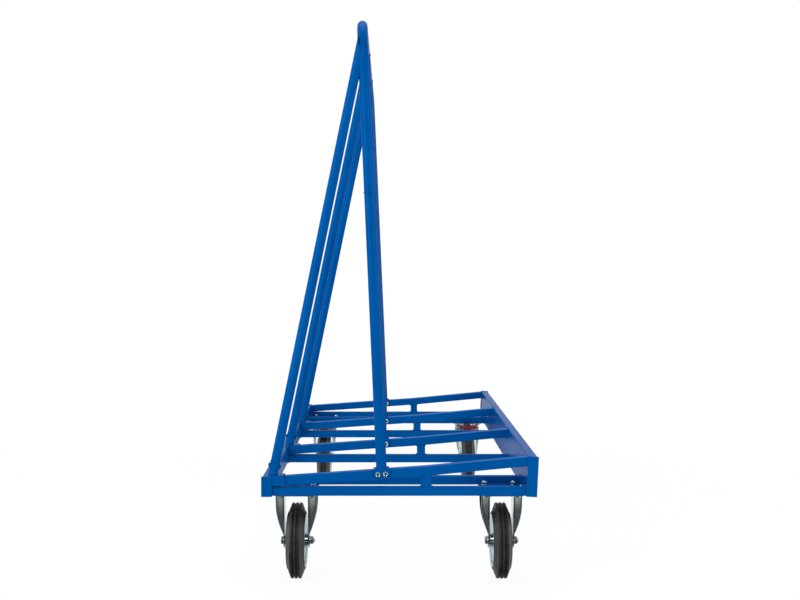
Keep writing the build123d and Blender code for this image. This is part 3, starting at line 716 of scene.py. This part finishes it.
def foot_fasteners():
    """Capped bolts in the post feet, with painted middles, and painted domes on the brace feet."""
    across = Vector((brace_up.z, 0, -brace_up.x))
    along = Vector((0, 1, 0))

    def by_foot(parts):
        """Fasteners of the post feet, and those of the brace feet."""
        post_ones = [points for points in parts if points[0].x > foot_divide_x]
        return post_ones, [points for points in parts if points[0].x <= foot_divide_x]

    post_bolts, brace_bolts = by_foot(solids("foot_bolts"))
    post_nuts, brace_nuts = by_foot(solids("foot_nuts"))
    feet = fasten("post_foot_fasteners", post_bolts, post_nuts, "frame", [along], head="cap")
    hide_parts("foot_bolts", "foot_nuts")
    fasten("brace_foot_fasteners", brace_bolts, brace_nuts, "frame", [along, across], head="dome",
           slot="blue_paint")
    middles = bmesh.new()
    for points in post_bolts:
        seat, out, widest, _ = bolt_facts(points, [along])
        half_flat = widest * cos(pi / 6)
        rings = scaled(middle_outline, half_flat / head_width * head_height, middle_width * half_flat)
        turn(middles, seat, out, rings, hex_steps)
    add_piece("painted_bolt_middles", middles, "frame", "blue_paint")


def castor_fasteners():
    """Hexagon bolts and nuts of the castor plates and the axles."""
    upright = Vector((0, 0, 1))
    plates = fasten("castor_fasteners", solids("castor_bolts"), solids("castor_nuts"), "frame",
                    [upright])
    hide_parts("castor_bolts", "castor_nuts")
    axis = Vector((1, 0, 0))
    for ending, body in (("fixed_pair", "frame"), ("swivel_left", "swivel_left"),
                         ("swivel_right", "swivel_right")):
        node = f"axle_bolt_{ending}"
        parts = solids(node)
        extents = [extent(points, axis) for points in parts]
        lengths = [high - low for low, high in extents]
        limit = max(lengths) / 2
        bolts = [points for points, length in zip(parts, lengths) if length > limit]
        nuts = [points for points, length in zip(parts, lengths) if length <= limit]
        piece = fasten(f"axle_fasteners_{ending}", bolts, nuts, body, [axis])
        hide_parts(node)


# Wheels
def both_sides(half):
    """A closed outline from its half, with a point in the middle plane kept once."""
    other = [(-along, radius) for along, radius in reversed(half) if along > 0]
    return half + other


def wheels():
    """A ribbed tyre and a pressed, riveted rim for each wheel."""
    axis = Vector((1, 0, 0))
    for key in ("fixed_left", "fixed_right", "swivel_left", "swivel_right"):
        low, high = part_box(f"tyre_{key}")
        middle = (Vector(low) + Vector(high)) / 2
        tyre = bmesh.new()
        turn(tyre, middle, axis, both_sides(tyre_half), lathe_steps, joined=True)
        add_piece(f"ribbed_tyre_{key}", tyre, f"wheel_{key}", "tyre_rubber", f"tyre_{key}")
        rim = bmesh.new()
        turn(rim, middle, axis, both_sides(rim_half), lathe_steps, joined=True)
        dome = scaled(rivet_outline, rivet_height, rivet_radius)
        for number in range(rivet_count):
            angle = 2 * pi * number / rivet_count
            spoke = Vector((0, cos(angle), sin(angle))) * rivet_circle
            for side in (-1, 1):
                seat = middle + spoke + axis * side * rivet_seat
                turn(rim, seat, axis * side, dome, rivet_steps)
        add_piece(f"pressed_rim_{key}", rim, f"wheel_{key}", "zinc_plate", f"rim_{key}")


# Castor legs
def flange_span(legs, start, side, facing):
    """Inner and outer edge of a leg's flange and its place along Y, at the height of start."""
    found = []
    outward = Vector((side, 0, 0))
    for step in range(int(scan_reach / scan_step)):
        place = start + outward * step * scan_step
        hit = legs.ray_cast(place, Vector((0, -facing, 0)))[0]
        if hit:
            found.append(hit)
    return found[0].x, found[-1].x, found[0].y


def flange_face(mesh, legs, start_x, start_y, face_high, side, facing):
    """A skin with rolled edges over one flange, found from a start in front of the leg."""
    loops = []
    for row in range(face_rows):
        z = face_low + (face_high - face_low) * row / (face_rows - 1)
        start = Vector((start_x, start_y, z))
        inner, outer, flat_y = flange_span(legs, start, side, facing)
        bulge = facing * face_bulge * min(1, abs(outer - inner) / face_full_width)
        loop = []
        for step in range(face_steps + 1):
            across = sin(pi * (step / face_steps - 0.5))
            x = (inner + outer) / 2 + (outer - inner) / 2 * across
            y = flat_y + bulge * (1 - abs(across) ** face_sharpness)
            loop.append(mesh.verts.new((x, y, z)))
        for x in (outer, inner):
            loop.append(mesh.verts.new((x, flat_y - facing * face_sink, z)))
        loops.append(loop)
    skin(mesh, loops)


def leg_faces():
    """Skins with rolled edges over the flanges of the fixed castors, where they face along Y."""
    for hand in ("left", "right"):
        node = f"fixed_housing_{hand}"
        legs = surface(node)
        low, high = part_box(node)
        middle_x = (low[0] + high[0]) / 2
        face_high = high[2] - face_drop
        mesh = bmesh.new()
        for facing in (-1, 1):
            start_y = (high[1] if facing > 0 else low[1]) + facing * scan_clear
            for side in (-1, 1):
                flange_face(mesh, legs, middle_x, start_y, face_high, side, facing)
        add_piece(f"rolled_leg_faces_{hand}", mesh, "frame", "zinc_plate")


# Studio
def studio_floor():
    """A pale floor that camera and gloss see as white, with painted reflections in gloss before the
    cart: glowing strips and dark bands of painted shade.
    """
    bpy.ops.mesh.primitive_plane_add(size=floor_size, location=(0, 0, 0))
    floor = bpy.context.object
    floor.name = "studio_floor"
    paint = Finish("studio_floor_paint")
    paint.set(Base_Color=(*floor_color, 1), Roughness=floor_roughness)
    rays = paint.add("ShaderNodeLightPath").outputs
    seen = paint.feed("ShaderNodeMath", 0, rays["Is Camera Ray"], operation="MAXIMUM")
    paint.join(rays["Is Glossy Ray"], seen.inputs[1])
    away = paint.feed("ShaderNodeVectorMath", 0, paint.place, operation="LENGTH")
    white = paint.between(away.outputs["Value"], From_Min=floor_glow_start,
                          From_Max=floor_glow_end, To_Min=floor_glow_near)
    share = paint.feed("ShaderNodeMath", 0, white, operation="MULTIPLY")
    paint.join(seen.outputs[0], share.inputs[1])

    # Painted reflections for gloss: glowing strips and dark bands of painted shade along Y
    first = painted_reflection_bands[0][0]
    length = painted_reflection_bands[-1][0] - first
    axes = paint.feed("ShaderNodeSeparateXYZ", 0, paint.place)
    along = paint.between(axes.outputs["Y"], From_Min=first, From_Max=first + length)
    bands = paint.ramp(along, [((place - first) / length, (bright, bright, bright, 1))
                               for place, bright in painted_reflection_bands])
    strength = paint.feed("ShaderNodeMix", "Factor", rays["Is Glossy Ray"], A=1.0)
    paint.join(bands, strength.inputs["B"])
    glow = paint.feed("ShaderNodeEmission", "Strength", strength.outputs["Result"])
    mix = paint.feed("ShaderNodeMixShader", "Fac", share.outputs[0])
    paint.join(paint.shader.outputs["BSDF"], mix.inputs[1])
    paint.join(glow.outputs["Emission"], mix.inputs[2])
    paint.join(mix.outputs["Shader"], paint.tree.nodes["Material Output"].inputs["Surface"])
    # Sampled as a lamp, the floor would light gloss past its test for glossy rays
    paint.material.cycles.emission_sampling = "NONE"
    floor.data.materials.append(paint.material)


def studio_sky():
    """A white background and a soft even sky, with a dark room behind the camera for gloss."""
    world = bpy.data.worlds.new("studio_world")
    bpy.context.scene.world = world
    world.use_nodes = True
    # Sampled as a lamp, the sky would light gloss past its test for glossy rays
    world.cycles.sampling_method = "NONE"
    sky = Nodes(world.node_tree)
    background = sky.tree.nodes["Background"]
    background.inputs["Color"].default_value = (1, 1, 1, 1)
    rays = sky.add("ShaderNodeLightPath").outputs
    direction = sky.add("ShaderNodeTexCoord").outputs["Generated"]
    axes = sky.feed("ShaderNodeSeparateXYZ", 0, direction)
    room = sky.between(axes.outputs["Y"], From_Min=dark_side_start, From_Max=dark_side_end,
                       To_Min=dark_side_level)
    soft = sky.feed("ShaderNodeMix", "Factor", rays["Is Glossy Ray"], A=ambient_level)
    sky.join(room, soft.inputs["B"])
    level = sky.feed("ShaderNodeMix", "Factor", rays["Is Camera Ray"], B=1.0)
    sky.join(soft.outputs["Result"], level.inputs["A"])
    sky.join(level.outputs["Result"], background.inputs["Strength"])


def soft_light(name, place, target, size, watts):
    """A square soft light that shines from a place towards a target."""
    data = bpy.data.lights.new(name, "AREA")
    data.shape = "SQUARE"
    data.size = size
    data.energy = watts
    lamp = bpy.data.objects.new(name, data)
    bpy.context.scene.collection.objects.link(lamp)
    lamp.location = place
    lamp.rotation_euler = (Vector(target) - Vector(place)).to_track_quat("-Z", "Y").to_euler()


def photo_camera():
    """The level camera of the photograph, whose frame is shifted from its vanishing point."""
    data = bpy.data.cameras.new("photo_camera")
    data.sensor_width = sensor_mm
    data.lens = lens_pixels / image_width * sensor_mm
    data.shift_x = (image_width / 2 - vanish_x) / image_width
    data.shift_y = -(image_height / 2 - vanish_y) / image_width
    data.clip_start = near_clip
    data.clip_end = far_clip
    camera = bpy.data.objects.new("photo_camera", data)
    bpy.context.scene.collection.objects.link(camera)
    camera.location = camera_place
    camera.rotation_euler = (pi / 2, 0, 0)
    bpy.context.scene.camera = camera


dress_nodes()
weld_frame()
joint_collars()
foot_fasteners()
castor_fasteners()
wheels()
leg_faces()
studio_floor()
studio_sky()
for lamp_row in lamps:
    soft_light(*lamp_row)
photo_camera()
bpy.context.scene.view_settings.view_transform = "Standard"
